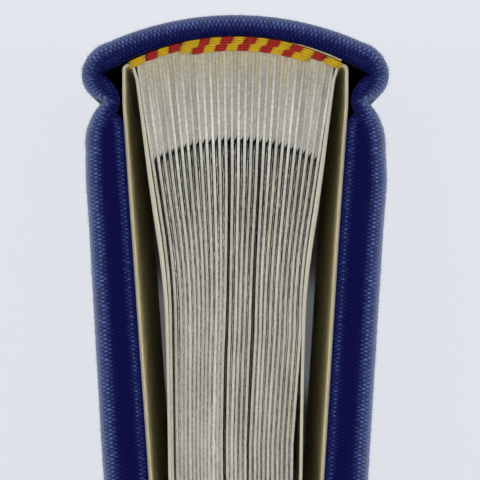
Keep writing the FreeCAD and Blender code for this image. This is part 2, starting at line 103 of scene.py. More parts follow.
class AlbumCase(bpy.types.PropertyGroup):
    """The cloth case: spine, grooves and covers."""

    crown_radius: size("Crown radius", "outside of the spine", 40.5)
    hollow_radius: size("Hollow radius", "inside of the spine", 33)
    spine_thick: size("Spine thickness", "spine at its middle", 2.7)
    shoulder_width: size("Shoulder width", "from the crown's arc to the spine's side", 3.4)
    shoulder_radius: size("Shoulder radius", "round of that shoulder", 4.6)
    bulge_depth: size("Bulge depth", "spine's widest place below its crown", 7.7)
    bulge_radius: size("Bulge radius", "round of the spine's side into the groove", 3.6)
    spine_edge: size("Spine edge", "spine at its widest place, outside to hollow", 2.6)
    hinge_depth: size("Hinge depth", "bottom of the groove below the crown", 11.3)
    strip_thick: size("Groove strip", "cloth, lining and turn-in in the groove", 2.1)
    strip_round: size("Strip round", "round of the strip into the hollow", 4.2)
    groove_sink: size("Groove sink", "groove below the spine's widest place", 2.8)
    cover_thick: size("Cover thickness", "board and both layers of cloth", 5.35)
    cover_width: size("Cover width", "hinge line to fore-edge", 130.5)
    joint_width: size("Joint width", "hinge line to the cover's full thickness", 6)
    joint_round: size("Joint round", "round of the board's joint edge", 7.3)
    swell: size("Swell", "how much thinner the cover is at the joint's end", 0.22)
    swell_end: size("Swell end", "place below the hinge line where it is as thick as elsewhere", 14)
    swell_round: size("Swell round", "round of the board between those two places", 60)
    front_belly: size("Front belly", "how much thicker the front cover is at its middle", 0.42)
    back_belly: size("Back belly", "how much thicker the back cover is below its joint", 0.3)
    back_ajar: size("Back ajar", "how far the back cover stands off at its middle", 0.3)
    edge_round: size("Edge round", "round of the cloth over the fore-edge", 1.1)
    recess: size("Recess", "hollow behind the groove strip, into the cover", 0.45)
    recess_drop: size("Recess drop", "that hollow's end below the hinge line", 1.4)
    recess_round: size("Recess round", "round of that hollow", 4)
    corner_drop: size("Corner drop", "inner corner of the cover below the hinge line", 1.8)
    board_corner: size("Board corner", "end of that corner's round below the hinge line", 2.8)
    corner_round: size("Corner round", "round of the inner corner", 3)
    rim: size("Rim", "round of the cloth over the head and tail", 0.9)
    # a coarse, slubby linen, with threads thick enough to show one by one
    warp: size("Warp spacing", "threads side by side along the case's outline", 0.27)
    weft: size("Weft spacing", "threads side by side from tail to head and over the rims", 0.6)
    relief: size("Relief", "how far a thread's crown stands over the valleys", 0.07)


class AlbumBlock(bpy.types.PropertyGroup):
    """The text block: leaves, guards, interleaves, endpapers and headbands."""

    leaves: IntProperty(name="Leaves", description="album leaves", default=28)
    leaf_thick: size("Leaf thickness", "card of a leaf", 0.35)
    guard_clear: size("Guard clearance", "guard clear of the leaves beside it", 0.012)
    glassine_thick: size("Glassine thickness", "crinkled sheet between two leaves", 0.1)
    paper_thick: size("Paper thickness", "endpaper", 0.35)
    back_radius: size("Back radius", "rounded back of the leaves", 31)
    back_depth: size("Back depth", "rounded back below the crown of the spine", 3.2)
    guard_depth: size("Guard depth", "guard, spine to its free edge", 12.8)
    fan_half: size("Fan half-width", "outer leaf at the back", 12.8)
    fan_drop: size("Fan drop", "outer leaf's back below the middle leaf's", 2.68)
    stub_half: size("Stub half-width", "outer leaf where the fan ends", 9.75)
    stub_depth: size("Stub depth", "where the leaves begin to bend", 26)
    waist_half: size("Waist half-width", "outer leaf where it has turned straight", 8.5)
    waist_depth: size("Waist depth", "end of that bend", 38)
    bend_radius: size("Bend radius", "round of the outer leaf between the two", 100)
    hang_half: size("Hang half-width", "outer leaf where it turns in towards the fore-edge", 8.2)
    hang_depth: size("Hang depth", "place of that turn", 60)
    fore_half: size("Fore-edge half-width", "outer leaf at the fore-edge", 4.995)
    back_slack: size("Back slack", "room between the last leaf and its flyleaf", 0.85)
    fold_radius: size("Fold radius", "outside of the endpaper's fold", 0.84)
    fold_sink: size("Fold sink", "middle of that fold below the outer leaf's back", 1.1)
    leaf_clear: size("Leaf clearance", "flyleaf clear of the outer leaf", 0.03)
    fly_bulge: size("Flyleaf bulge", "how far it stands off the leaves where they bend", 0.42)
    lining_thick: size("Lining thickness", "paper on the back of the leaves", 0.16)
    lining_lift: size("Lining lift", "how far its loose part stands off the back", 0.42)
    stitch: size("Stitch", "one colour of thread along the headband", 1.53)
    strand: size("Strand", "half the thickness of a silk strand", 0.15)
    first_stitch: size("First stitch", "start of the first whole stitch from the middle", 11.89)
    end_stitch: size("End stitch", "stitch turned over the band's end, from the middle", 13.24)
    end_length: size("End stitch length", "that stitch along the headband", 2.1)
    row_sink: size("Row sink", "headband's middle line inside the block's back", 0.45)


class AlbumColours(bpy.types.PropertyGroup):
    """The colours of the cloth, papers, threads and backdrop."""

    navy: colour("Navy", "valleys of the book cloth", "#050435")
    # the crowns are pale partly with rubbing and partly with a painted highlight
    navy_crown_highlight: colour("Navy crown", "thread crowns of the book cloth", "#4F63A0")
    # the fibre ends' pale colour is painted sheen
    navy_fuzz_sheen: colour("Navy fuzz", "fibre ends of the book cloth", "#A2B2D8")
    card: colour("Card", "album card", "#B4B1A6")
    card_warm: colour("Warm card", "yellowed album card", "#C0B69A")
    card_cool: colour("Cool card", "clean album card", "#D6D5CE")
    guard: colour("Guard", "card of the guards", "#B0AFA6")
    cream: colour("Cream", "endpaper", "#ECE1AF")
    # the deeper yellow is painted light bounced between the cream sheets, down from the head and
    # tail
    cream_deep_bounce: colour("Deep cream", "endpaper away from its edges", "#E9DA9B")
    cream_edge: colour("Cream edge", "cut edge of the endpaper", "#C0BBAA")
    glassine: colour("Glassine", "interleaving paper", "#DEDDCB")
    lining: colour("Lining", "mull and paper on the back of the leaves", "#CFC49B")
    board: colour("Board", "grey board", "#8C8377")
    yellow: colour("Yellow", "yellow silk", "#C19D12")
    red: colour("Red", "red silk", "#9C1D14")
    ground: colour("Ground", "floor and backdrop", "#E2E5EC")


# -------- places in the section


def crown():
    """The spine's crown, from which every depth is measured."""
    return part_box("spine_cloth")[1].y


def ramp(value, start, stop):
    """How far a value has got from start to stop, from 0 to 1."""
    return np.clip((value - start) / (stop - start), 0, 1)


def hill(value, top, spread):
    """1 at the top of a smooth hill, and next to nothing two spreads away."""
    return np.exp(-(((value - top) / spread) ** 2))


def drop(radius, half):
    """How far an arc has dropped below its top at a half-width."""
    return radius - math.sqrt(radius**2 - half**2)


def arc(start, stop, radius, count=49):
    """Places along an arc; a minus before the radius makes it turn to the other side."""
    if radius == 0:
        return np.array([start, stop])
    chord = stop - start
    reach = math.sqrt(radius**2 - abs(chord) ** 2 / 4)
    middle = (start + stop) / 2 + math.copysign(reach, radius) * 1j * chord / abs(chord)
    turn = np.angle((stop - middle) / (start - middle))
    return middle + (start - middle) * np.exp(1j * turn * np.linspace(0, 1, count))


def trace(route, steps=None, pitch=None):
    """Even places along a route: its start, then (place, radius) for each side of it."""
    fine = [np.array([route[0]])]
    for place, radius in route[1:]:
        fine.append(arc(fine[-1][-1], place, radius)[1:])
    fine = np.concatenate(fine)
    along = np.concatenate(([0], np.cumsum(abs(np.diff(fine)))))
    steps = steps or max(1, round(along[-1] / pitch))
    even = np.linspace(0, along[-1], steps + 1)
    return np.interp(even, along, fine.real) + 1j * np.interp(even, along, fine.imag)


def inward(outline, other):
    """Unit normals of an outline, turned towards the other one."""
    along = np.gradient(outline)
    normal = 1j * along / np.maximum(abs(along), 1e-12)
    towards = (np.conj(normal) * (other - outline)).real.mean()
    return normal if towards > 0 else -normal


def beside(middle, thick):
    """The two outlines of a sheet that lies along a middle line."""
    along = np.gradient(middle)
    shift = 1j * along / abs(along) * thick / 2
    return middle + shift, middle - shift


def lengths(points):
    """Distance along each line of points, from its start."""
    steps = np.linalg.norm(np.diff(points, axis=0), axis=-1)
    return np.concatenate((np.zeros((1, *steps.shape[1:])), np.cumsum(steps, axis=0)))


def ripple(x, y, wave, seed):
    """A smooth random height between about -1 and 1, with bumps about wave apart."""
    dice = np.random.default_rng(seed)
    total = 0
    for _ in range(6):
        turn, phase, stretch = dice.uniform(0, math.tau, 2).tolist() + [dice.uniform(0.6, 1.6)]
        slope = math.tau / (wave * stretch)
        total = total + np.sin((x * math.cos(turn) + y * math.sin(turn)) * slope + phase)
    return total / 3


# -------- meshes


def quarter(rim, step):
    """(inset, rise) for the rows round one rim, from the wall to the face."""
    angles = np.linspace(0, math.pi / 2, max(1, round(rim * math.pi / 2 / step)) + 1)
    return [(rim * (1 - math.cos(a)), rim * math.sin(a)) for a in angles]


def climb(height, step, growth):
    """Rises up a wall whose steps grow away from both ends."""
    rises, gap = [], step
    while not rises or rises[-1] + gap < height / 2:
        rises.append((rises[-1] if rises else 0) + gap)
        gap *= growth
    return rises + [height - rise for rise in reversed(rises)]


def rows_round(low, high, rims, step, across, growth):
    """Rows over the head of a strip, down its inside, under its tail and up its outside.

    Each is (share of the way to the inner outline, outer inset, inner inset, level, relief).
    """
    outer, inner = rims
    over = [(0, inset, 0, high - outer + rise, 1) for inset, rise in quarter(outer, step)]
    over += [(f / across, outer, inner, high, 1) for f in range(1, across)]
    over += [(1, 0, inset, high - inner + rise, 1) for inset, rise in quarter(inner, step)[::-1]]
    under = [(f, a, b, low + high - level, relief) for f, a, b, level, relief in over[::-1]]
    up = [(0, 0, 0, low + outer + r, 0) for r in climb(high - low - 2 * outer, step, growth)]
    down = [(1, 0, 0, high - inner - r, 0) for r in climb(high - low - 2 * inner, step, growth)]
    return np.array(over + down + under + up + over[:1]), len(over)


def show(name, data):
    """A new object in the scene, made from its data."""
    made = bpy.data.objects.new(name, data)
    bpy.context.scene.collection.objects.link(made)
    return made


def deselect():
    """Leave nothing selected, since an operator acts on all that is."""
    bpy.ops.object.select_all(action="DESELECT")


def band(name, outer, inner, low, high, rims=(5e-5, 5e-5), step=1e-4, across=2, growth=3.0,
         side=1, unit=(0.001, 0.001), relief=0, shape=None, tint=None, lined=False):
    """A closed strip that stands from low to high between two outlines of as many places.

    It starts as a flat grid that is wrapped round the outlines, and its UV map is its unrolled
    surface in units of unit. shape moves its points. tint is kept as an attribute, which "edges"
    works out from how near a place is to the head or tail. A lined strip has its second material
    on its inside.
    """
    rows, over = rows_round(low, high, rims, step, across, growth)
    share, outer_inset, inner_inset, level, bumps = rows.T[:, :, None]
    places = (1 - share) * (outer + inward(outer, inner) * outer_inset)
    places = places + share * (inner + inward(inner, outer) * inner_inset)
    points = np.stack(
        [side * places.real, crown() - places.imag, np.broadcast_to(level, places.shape)], axis=-1
    )
    if shape:
        points = shape(points)
    u = lengths(points.transpose(1, 0, 2)).mean(axis=1) / unit[0]
    v = lengths(points) / unit[1]
    marks = {"tint": tint}
    # for endpapers, faces turn a deeper yellow away from the head and tail: painted light bounced
    # between the cream sheets
    if isinstance(tint, str):
        from_edge, fade = np.minimum(level - low, high - level), 0.025
        marks["tint"] = (1 - bumps) * (1 - 0.5 * np.exp(-from_edge / fade))
    if relief:
        thick = abs(outer - inner)
        marks["rub_and_highlight"], marks["nap_and_sheen"] = wear_and_highlight(share, outer_inset, inner_inset, thick, bumps)
        normal = np.cross(np.gradient(points, axis=1), np.gradient(points, axis=0))
        normal /= np.maximum(np.linalg.norm(normal, axis=-1, keepdims=True), 1e-12)
        lift = 0.5 * relief * (np.cos(math.pi * u) * np.cos(math.pi * v) - 1) * bumps
        facing = np.sign(normal[over // 2, :, 2].mean())
        points = points + normal * lift[..., None] * facing
        points[-1] = points[0]
    deselect()
    count = points.shape[:2]
    bpy.ops.mesh.primitive_grid_add(x_subdivisions=count[1] - 1, y_subdivisions=count[0] - 1)
    strip = bpy.context.object
    strip.name = strip.data.name = name
    strip.location = (0, 0, 0)
    strip.data.vertices.foreach_set("co", points.ravel())
    corners = np.zeros(len(strip.data.loops), int)
    strip.data.loops.foreach_get("vertex_index", corners)
    flat = np.stack(np.broadcast_arrays(u, v), axis=-1).reshape(-1, 2)[corners]
    strip.data.uv_layers[0].data.foreach_set("uv", flat.ravel())
    for key, amount in marks.items():
        if amount is not None:
            kept = strip.data.attributes.new(key, "FLOAT", "POINT")
            kept.data.foreach_set("value", np.broadcast_to(amount, count).ravel())
    if lined:
        inside = np.broadcast_to(share > 0.999, count).ravel()
        part = np.zeros(len(strip.data.polygons), np.int32)
        for index, face in enumerate(strip.data.polygons):
            part[index] = all(inside[corner] for corner in face.vertices)
        strip.data.polygons.foreach_set("material_index", part)
    close()
    return strip


def wear_and_highlight(share, outer_inset, inner_inset, thick, bumps):
    """How much the thread crowns are rubbed pale and lit by a painted highlight, and how much pale
    nap with painted sheen stands up, on a rim.
    """
    from_outer = (1 - share) * outer_inset + share * (thick - inner_inset)
    from_inner = np.maximum(thick - from_outer, 0)
    # the spine is thinner than the covers, and its rubbing and painted highlight lie more evenly
    thin = ramp(thick, 0.0042, 0.003)
    worn_and_highlit = hill(from_outer, 0.0012 - 0.0004 * thin, 0.0006) * (1 - 0.25 * thin)
    worn_and_highlit = worn_and_highlit + 0.5 * (1 - thin) * hill(from_inner, 0.0007, 0.0004)
    elsewhere, on_walls, nap_and_sheen_depth = 0.025 + 0.075 * thin, 0.3, 0.00038
    nap_and_sheen = (0.62 - 0.25 * thin) * np.exp(-from_outer / nap_and_sheen_depth) * bumps
    return np.clip(worn_and_highlit + elsewhere, 0, 1) * bumps + on_walls * (1 - bumps), nap_and_sheen


def loose_ends(name, outline, other, level, rise, rim, side, seed):
    """Fibre ends that stand out of the rim of an outline, each a thin closed spike.

    There are thousands, so they are written straight into one mesh.
    """
    per_metre, radius, rooted, shortest, longest = 30000, 0.000016, 0.00004, 0.0001, 0.00055
    dice = np.random.default_rng(seed)
    count = round(abs(np.diff(outline)).sum() * per_metre)
    spot, steps = dice.uniform(0, len(outline) - 1, count), np.arange(len(outline))
    out = -inward(outline, other)
    place, out = (
        np.interp(spot, steps, each.real) + 1j * np.interp(spot, steps, each.imag)
        for each in (outline, out)
    )
    climb_angle, lean = dice.uniform(0, 1.3, count), dice.normal(0, 0.6, (2, count))
    root = place - out * rim * (1 - np.cos(climb_angle))
    height = level - rise * rim * (1 - np.sin(climb_angle))
    turned = out * np.exp(1j * lean[0])
    up = rise * np.tan(np.clip(climb_angle * 0.8 + lean[1] * 0.5, -1.2, 1.2))
    root = np.stack([side * root.real, crown() - root.imag, height], axis=-1)
    way = np.stack([side * turned.real, -turned.imag, up], axis=-1)
    way /= np.linalg.norm(way, axis=-1, keepdims=True)
    across = np.cross(way, (0.3, 0.5, 0.8))
    across /= np.linalg.norm(across, axis=-1, keepdims=True)
    other_way = np.cross(way, across)
    foot = root - way * rooted
    corners = [
        foot + radius * (math.cos(turn) * across + math.sin(turn) * other_way)
        for turn in (0, math.tau / 3, 2 * math.tau / 3)
    ]
    tip = root + way * dice.uniform(shortest, longest, (count, 1))
    points = np.stack([*corners, tip], axis=1).reshape(-1, 3)
    faces = np.array([(0, 1, 3), (1, 2, 3), (2, 0, 3), (2, 1, 0)])
    faces = (faces[None] + 4 * np.arange(count)[:, None, None]).reshape(-1, 3)
    mesh = bpy.data.meshes.new(name)
    mesh.from_pydata(points.tolist(), [], faces.tolist())
    mesh.uv_layers.new(name="UVMap")
    # the fibre ends take the cloth's pale nap colour, which is painted sheen
    mesh.attributes.new("nap_and_sheen", "FLOAT", "POINT").data.foreach_set("value", np.full(4 * count, 0.6))
    return show(name, mesh)


def close():
    """Weld the active wrapped grid along its seam, cap its ends and turn its faces outwards."""
    bpy.ops.object.mode_set(mode="EDIT")
    bpy.ops.mesh.select_all(action="SELECT")
    bpy.ops.mesh.remove_doubles(threshold=2e-6)
    bpy.ops.mesh.fill_holes(sides=0)
    bpy.ops.mesh.select_all(action="SELECT")
    bpy.ops.mesh.normals_make_consistent(inside=False)
    bpy.ops.object.mode_set(mode="OBJECT")
    bpy.ops.object.shade_smooth_by_angle(angle=math.radians(50))


def join(pieces, name):
    """The pieces as one object."""
    deselect()
    for piece in pieces:
        piece.select_set(True)
    bpy.context.view_layer.objects.active = pieces[0]
    if len(pieces) > 1:
        bpy.ops.object.join()
    pieces[0].name = pieces[0].data.name = name
    return pieces[0]


def finish_with(piece, material):
    """Give a piece its material."""
    piece.data.materials.clear()
    piece.data.materials.append(material)
    return piece


# -------- materials


# spacing of each pattern, in metres: fibres of pulp and silk are too fine to show, so their flecks
# are drawn as coarse as this; streaks run across the sheets, into the depth and up the height
PULP_FLECK, SILK_FLECK, GLUE_SPOT = 0.0004, 0.00025, 0.00111
STREAK = (0.00111, 0.00667, 0.01667)


def plug(node, links):
    """Feed a node's inputs, by name or in order, from nodes or their outputs, or set them."""
    for socket, source in links.items() if isinstance(links, dict) else enumerate(links):
        if isinstance(source, bpy.types.Node):
            source = source.outputs[0]
        if isinstance(source, bpy.types.NodeSocket):
            node.id_data.links.new(source, node.inputs[socket])
        else:
            node.inputs[socket].default_value = source


def add(tree, kind, links=(), **settings):
    """A node of the kind with its settings, fed by links."""
    node = tree.nodes.new("ShaderNode" + kind)
    for key, setting in settings.items():
        setattr(node, key, setting)
    plug(node, links)
    return node


def new_material(name, rough, specular):
    """A material, its node tree and its surface shader."""
    material = bpy.data.materials.new(name)
    material.use_nodes = True
    shader = material.node_tree.nodes["Principled BSDF"]
    plug(shader, {"Roughness": rough, "Specular IOR Level": specular})
    return material, material.node_tree, shader


def book_cloth(tones):
    """Linen book cloth, piece-dyed and matt: thread crowns, pale with rubbing and a painted
    highlight, over nearly black valleys.
    """
    material, tree, shader = new_material("navy_linen_book_cloth", 0.62, 0.02)
    # the UV map counts threads: warp threads along u and weft threads along v
    uv = add(tree, "UVMap")
    split = add(tree, "SeparateXYZ", [uv]).outputs
    turns = [add(tree, "Math", [split[i], math.pi], operation="MULTIPLY") for i in (0, 1)]
    waves = [add(tree, "Math", [turn], operation="COSINE") for turn in turns]
    check = add(tree, "Math", waves, operation="MULTIPLY")
    crowns = add(tree, "Math", [check, 0.5, 0.5], operation="MULTIPLY_ADD")
    # slubs: thick and thin stretches of thread
    stretched = add(tree, "Mapping", {"Vector": uv, "Scale": (0.45, 0.7, 1)})
    slub = add(tree, "TexNoise", {"Vector": stretched, "Scale": 1.0, "Detail": 2.0})
    uneven = add(tree, "Math", [crowns, slub], operation="MULTIPLY")
    shown = add(tree, "MapRange", [uneven, 0.2, 0.6], interpolation_type="SMOOTHSTEP")
    # the fold over the board's edge is rubbed and carries a painted highlight, so the crowns there
    # are paler, the valleys a little
    seen = add(tree, "Math", [shown, 0.9, 0.1], operation="MULTIPLY_ADD")
    rub_and_highlight = add(tree, "Attribute", attribute_name="rub_and_highlight").outputs["Fac"]
    pale = add(tree, "Math", [seen, rub_and_highlight], operation="MULTIPLY")
    links = {"Factor": pale, 6: tones.navy, 7: tones.navy_crown_highlight}
    woven = add(tree, "Mix", links, data_type="RGBA").outputs[2]
    # broken fibre ends stand up along the outer edge and half hide the weave under a pale nap,
    # which is painted sheen
    nap_and_sheen = add(tree, "Attribute", attribute_name="nap_and_sheen").outputs["Fac"]
    caught = add(tree, "Math", [crowns, 0.5, 0.7], operation="MULTIPLY_ADD")
    nap_and_sheen_share = add(tree, "Math", [nap_and_sheen, caught], operation="MULTIPLY")
    links = {"Factor": nap_and_sheen_share, 6: woven, 7: tones.navy_fuzz_sheen}
    mixed = add(tree, "Mix", links, data_type="RGBA").outputs[2]
    fibre = add(tree, "TexNoise", {"Vector": uv, "Scale": 2.5, "Detail": 3.0})
    height = add(tree, "Math", [fibre, 0.35, crowns], operation="MULTIPLY_ADD")
    bump = add(tree, "Bump", {"Height": height, "Distance": 6e-5, "Strength": 0.7})
    plug(shader, {"Base Color": mixed, "Normal": bump})
    return material


def turned_in(tones):
    """The same cloth on the inside of the case, stiff with glue, so that no fibre ends stand up and
    no painted sheen lies on it.
    """
    material, tree, shader = new_material("glued_book_cloth", 0.8, 0.05)
    place = add(tree, "TexCoord").outputs["Object"]
    glue = add(tree, "TexNoise", {"Vector": place, "Scale": 1 / GLUE_SPOT, "Detail": 2.0})
    bump = add(tree, "Bump", {"Height": glue, "Distance": 5e-5})
    plug(shader, {"Base Color": tones.navy, "Normal": bump})
    return material


def paper(name, tones, rough=0.85, shades=(0.8, 1.12)):
    """Matt paper or card: a tone for each sheet, with the fibres and specks of its pulp."""
    material, tree, shader = new_material(name, rough, 0.3)
    place = add(tree, "TexCoord").outputs["Object"]
    tint = add(tree, "Attribute", attribute_name="tint").outputs["Fac"]
    tone = add(tree, "ValToRGB", {"Fac": tint})
    stops = tone.color_ramp.elements
    stops[0].color, stops[1].color = tones[0], tones[-1]
    if len(tones) > 2:
        stops.new(0.5).color = tones[1]
    pulp = add(tree, "TexNoise", {"Vector": place, "Scale": 1 / PULP_FLECK, "Detail": 3.0})
    # handling and glue have left it a little darker in long streaks
    long = add(tree, "Mapping", {"Vector": place, "Scale": [1 / each for each in STREAK]})
    streak = add(tree, "TexNoise", {"Vector": long, "Scale": 1.0})
    grain = add(tree, "Math", [streak, 0.6, pulp], operation="MULTIPLY_ADD")
    shade = add(tree, "MapRange", [grain, 0.6, 1.0, shades[0], shades[1]])
    links = {"Factor": 1.0, 6: tone, 7: shade}
    toned = add(tree, "Mix", links, data_type="RGBA", blend_type="MULTIPLY").outputs[2]
    bump = add(tree, "Bump", {"Height": pulp, "Distance": 5e-5, "Strength": 0.4})
    # loose fibres catch the light that only grazes the sheet, so the gaps glow some way down
    plug(shader, {"Base Color": toned, "Normal": bump, "Diffuse Roughness": 1.0})
    return material


def silk(name, tone):
    """Floss silk: smooth, with a soft gloss along each strand."""
    material, tree, shader = new_material(name, 0.55, 0.2)
    place = add(tree, "TexCoord").outputs["Object"]
    fibre = add(tree, "TexNoise", {"Vector": place, "Scale": 1 / SILK_FLECK, "Detail": 2.0})
    shade = add(tree, "MapRange", {0: fibre, 3: 0.6, 4: 1.25})
    links = {"Factor": 1.0, 6: tone, 7: shade}
    toned = add(tree, "Mix", links, data_type="RGBA", blend_type="MULTIPLY").outputs[2]
    plug(shader, {"Base Color": toned})
    return material


def ground_finish(tones, half_width, half_depth, painted_pool):
    """A smooth pale paper sweep that is as light as its colour away from the album, with a painted
    pool of light between the covers.
    """
    material, tree, shader = new_material("pale_paper_sweep", 0.9, 0.1)
    place = add(tree, "TexCoord").outputs["Object"]
    split = add(tree, "SeparateXYZ", [place]).outputs
    clear = []
    for part, half in ((split[0], half_width), (split[1], half_depth)):
        off = add(tree, "Math", [part], operation="ABSOLUTE")
        away = add(tree, "Math", [off, half], operation="SUBTRACT")
        clear.append(add(tree, "MapRange", [away, -0.004, 0.0]))
    outside = add(tree, "Math", clear, operation="MAXIMUM")
    bright = add(tree, "Math", [outside, 0.88], operation="MULTIPLY")
    # a painted pool of light on the floor between the covers, where the leaves are narrowest
    ahead = add(tree, "Math", [split[1], painted_pool], operation="SUBTRACT")
    away = add(tree, "Math", [ahead], operation="ABSOLUTE")
    links = {0: away, 1: 0.012, 2: 0.006, 4: 0.12}
    painted_pool_glow = add(tree, "MapRange", links, interpolation_type="SMOOTHSTEP")
    lit = add(tree, "Math", [bright, painted_pool_glow], operation="MAXIMUM")
    # it glows where it is seen, and casts no light of its own on the album
    seen = add(tree, "LightPath").outputs
    rays = [seen["Is Camera Ray"], seen["Is Glossy Ray"]]
    direct = add(tree, "Math", rays, operation="MAXIMUM")
    share = add(tree, "Math", [lit, direct], operation="MULTIPLY")
    plug(shader, {"Base Color": tones.ground})
    glow = add(tree, "Emission", [tones.ground, 1.0])
    mixed = add(tree, "MixShader", [share, shader, glow])
    plug(tree.nodes["Material Output"], [mixed])
    return material


# -------- the case


def joint_half():
    """Inside of a cover at the hinge line: where its board's lining paper begins."""
    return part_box("back_flyleaf")[1].x


def cover_lean(s):
    """The angle by which a cover leans in towards the fore-edge."""
    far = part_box("back_pastedown")[0]
    return math.atan((joint_half() - far.x) / (crown() - far.y - s.hinge_depth))


def on_cover(s, out, along):
    """The place that lies out from a cover's inside and along it from the hinge line."""
    return complex(joint_half(), s.hinge_depth) + complex(out, along) * np.exp(1j * cover_lean(s))


def case_outlines(s):
    """Outer and inner outline of half the case, from the crown to the middle of the fore-edge."""
    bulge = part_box("spine_cloth")[1].x
    shoulder_half, hollow_half = bulge - s.shoulder_width, bulge - s.spine_edge
    shoulder = complex(shoulder_half, drop(s.crown_radius, shoulder_half))
    lip = complex(hollow_half, s.spine_thick + drop(s.hollow_radius, hollow_half))
    # the place in the hollow that lies under the shoulder
    under = 0.86 * hollow_half
    below = complex(under, s.spine_thick + drop(s.hollow_radius, under))
    widest = complex(bulge, s.bulge_depth)
    notch = complex(bulge - s.groove_sink, s.hinge_depth)
    strip = notch - s.strip_thick
    recess = strip + complex(s.recess, s.recess_drop)
    full = on_cover(s, s.cover_thick - s.swell, s.joint_width)
    swollen = on_cover(s, s.cover_thick, s.swell_end)
    corner = on_cover(s, s.recess, s.corner_drop)
    corner_end = on_cover(s, 0, s.board_corner)
    level = on_cover(s, 0, s.joint_width)
    fore, edge = s.cover_width, s.cover_width - s.edge_round
    near_outer, near_inner = on_cover(s, s.cover_thick, edge), on_cover(s, 0, edge)
    round_outer = (on_cover(s, s.cover_thick - s.edge_round, fore), s.edge_round)
    round_inner = (on_cover(s, s.edge_round, fore), -s.edge_round)
    tip = on_cover(s, s.cover_thick / 2, fore)
    into_corner = [(recess, -s.recess_round), (corner, 0), (corner_end, -s.corner_round)]
    legs = [
        ([0, (shoulder, s.crown_radius)], [1j * s.spine_thick, (below, s.hollow_radius)]),
        ([shoulder, (widest, s.shoulder_radius)], [below, (lip, s.hollow_radius)]),
        ([widest, (notch, s.bulge_radius)], [lip, (strip, -s.strip_round)]),
        ([notch, (full, s.joint_round)], [strip, *into_corner, (level, 0)]),
        ([full, (swollen, s.swell_round), (near_outer, 0)], [level, (near_inner, 0)]),
        ([near_outer, round_outer, (tip, 0)], [near_inner, round_inner, (tip, 0)]),
    ]
    outer, inner = [], []
    for outside, inside in legs:
        steps = len(trace(outside, pitch=s.warp)) - 1
        outer.append(trace(outside, steps)[:-1])
        inner.append(trace(inside, steps)[:-1])
    return np.concatenate([*outer, [tip]]), np.concatenate([*inner, [tip]])


def settled(s, side, outer, inner):
    """The outlines of one half of the case as its cover has come to hang.

    The front cover has swollen towards its middle, the back one all along, and that one is ajar.
    """
    flat = 1 - ramp(outer.imag, *SWELLS_END)
    if side < 0:
        return outer + s.front_belly * ramp(outer.imag, *FRONT_SWELLS) * flat, inner
    outer = outer + s.back_belly * ramp(outer.imag, *BACK_SWELLS) * flat
    return tuple(line + s.back_ajar * ramp(line.imag, *BACK_STANDS_OFF) for line in (outer, inner))


class ALBUM_OT_case_cloth(bpy.types.Operator):
    """Wrap the spine, the grooves and both covers in linen book cloth"""

    bl_idname = "album.case_cloth"
    bl_label = "Case cloth"

    def execute(self, context):
        s, tones = context.scene.album_case, context.scene.album_colours
        outlines = case_outlines(s)
        low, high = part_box("back_cover_cloth")
        finish, inside = book_cloth(tones), turned_in(tones)
        for name, side in SIDES:
            outer, inner = settled(s, side, *outlines)
            cloth = band(
                f"{name}_case_cloth", outer, inner, low.z, high.z,
                rims=(s.rim, s.rim), step=s.weft / 3, across=24, growth=1.5,
                side=side, unit=(s.warp, s.weft), relief=s.relief, lined=True,
            )
            ends = [
                loose_ends("head_nap", outer, inner, high.z, 1, s.rim, side, seed=7),
                loose_ends("tail_nap", outer, inner, low.z, -1, s.rim, side, seed=8),
            ]
            cloth = join([cloth, *ends], f"{name}_case_cloth")
            finish_with(cloth, finish)
            cloth.data.materials.append(inside)
            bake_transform(cloth)
            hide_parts(f"{name}_cover_cloth", "spine_cloth")
        return {"FINISHED"}


class ALBUM_OT_boards(bpy.types.Operator):
    """Give the grey boards and the spine's stiffener their finish"""

    bl_idname = "album.boards"
    bl_label = "Boards"

    def execute(self, context):
        tones = context.scene.album_colours
        # pressed from pulped waste paper, so it is dull and flecked
        board = paper("grey_board", [tones.board, tones.board], 0.95)
        for node in ("front_board", "back_board", "spine_board"):
            finish_with(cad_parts[node], board)
        return {"FINISHED"}


class ALBUM_OT_lining(bpy.types.Operator):
    """Paste the paper lining round the back, where it has come loose along the last of its width"""

    bl_idname = "album.lining"
    bl_label = "Back lining"

    def execute(self, context):
        b, tones = context.scene.album_block, context.scene.album_colours
        low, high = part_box("spine_lining")
        half, overhang, paste = high.x - 0.0002, 0.0013, 0.00015
        across = np.linspace(-half, half + overhang, 90)
        angle = np.arcsin(across / (b.back_radius + b.lining_lift))
        loose = b.lining_lift * ramp(across, 0, 0.007) ** 0.5 + paste
        place = 1j * (b.back_depth + b.back_radius) + (b.back_radius + loose) * (
            np.sin(angle) - 1j * np.cos(angle)
        )
        outer, inner = beside(place, b.lining_thick)
        sheet = band(
            "back_lining", outer, inner, low.z, high.z + 0.0007, tint=0.5, shape=self.trim_head
        )
        # brown paper over gauze, dull and faded to straw
        finish = paper("mull_and_kraft_lining", [tones.lining, tones.lining])
        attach(finish_with(sheet, finish), "root")
        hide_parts("spine_lining")
        return {"FINISHED"}

    @staticmethod
    def trim_head(points):
        """The head stands above the silk where the lining is loose and below it elsewhere."""
        return raise_head(points, -0.0016 * ramp(points[..., 0], 0.0085, 0.0073))


# -------- the block


